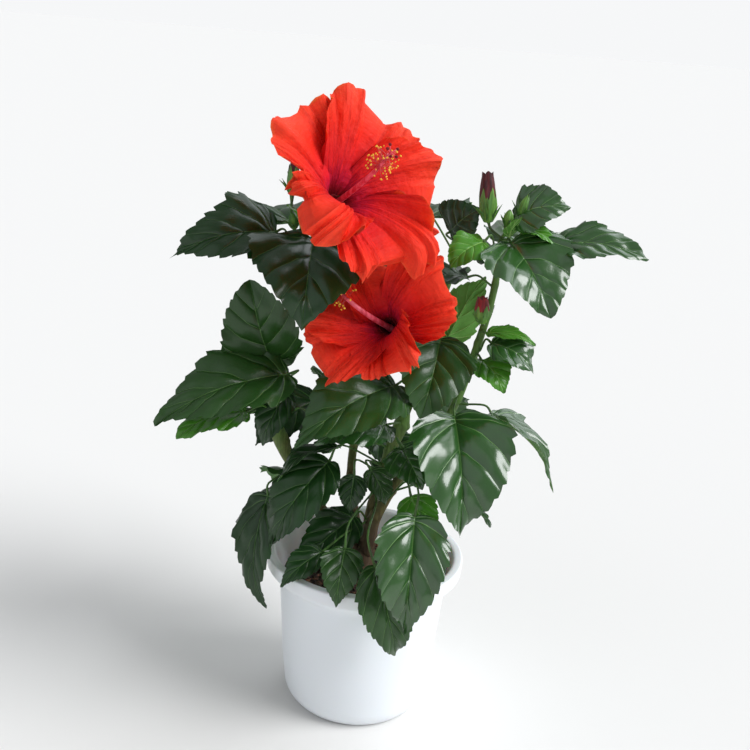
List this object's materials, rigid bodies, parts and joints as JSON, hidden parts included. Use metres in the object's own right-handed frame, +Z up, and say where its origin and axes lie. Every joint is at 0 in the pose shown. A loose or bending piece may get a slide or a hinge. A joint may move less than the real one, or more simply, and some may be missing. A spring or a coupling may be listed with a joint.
{
  "type": "potted hibiscus shrub",
  "caption": "Potted hibiscus shrub with large open red blooms and glossy toothed leaves, standing on the flat base of a plain white nursery pot.",
  "frame": {"origin": "centre of the pot's flat underside", "axes": "+Z up, -Y to the front of the plant, +X to its right as seen from the front"},
  "size_m": [0.3876, 0.295, 0.5604],
  "materials": {
    "pot": "satin",
    "bark_mix": "matte",
    "bark": "matte",
    "leaf": "gloss",
    "bloom": "satin"
  },
  "bodies": {
    "root": {"bloom_lower_core": "bloom", "bloom_lower_petal_1": "bloom", "bloom_lower_petal_2": "bloom", "bloom_lower_petal_3": "bloom", "bloom_lower_petal_4": "bloom", "bloom_lower_petal_5": "bloom", "bloom_upper_core": "bloom", "bloom_upper_petal_1": "bloom", "bloom_upper_petal_2": "bloom", "bloom_upper_petal_3": "bloom", "bloom_upper_petal_4": "bloom", "bloom_upper_petal_5": "bloom", "foliage_back": "leaf", "foliage_back_left": "leaf", "foliage_back_low_left": "leaf", "foliage_back_low_right": "leaf", "foliage_back_middle": "leaf", "foliage_back_right": "leaf", "foliage_back_upper": "leaf", "foliage_back_upper_left": "leaf", "foliage_back_upper_right": "leaf", "foliage_by_lower_bloom": "leaf", "foliage_centre": "leaf", "foliage_centre_glossy": "leaf", "foliage_far_left": "leaf", "foliage_far_right": "leaf", "foliage_front_big": "leaf", "foliage_front_low": "leaf", "foliage_left_bright": "leaf", "foliage_left_low": "leaf", "foliage_left_lowest": "leaf", "foliage_left_thin": "leaf", "foliage_left_upright": "leaf", "foliage_over_soil": "leaf", "foliage_right_big": "leaf", "foliage_right_edge": "leaf", "foliage_right_glossy": "leaf", "foliage_right_middle": "leaf", "foliage_rim_front": "leaf", "foliage_side_low_left": "leaf", "foliage_side_low_right": "leaf", "foliage_small_bright": "leaf", "foliage_small_glossy": "leaf", "foliage_top_crumpled": "leaf", "foliage_top_middle": "leaf", "foliage_top_right": "leaf", "foliage_turned_up": "leaf", "foliage_under_bloom": "leaf", "foliage_upper_left": "leaf", "pot": "pot", "soil": "bark_mix", "stem_back": "bark", "stem_left_low": "bark", "stem_left_top": "bark", "stem_middle_low": "bark", "stem_middle_top": "bark", "stem_right_low": "bark", "stem_right_top": "bark", "trunk": "bark"}
  },
  "joints": []
}
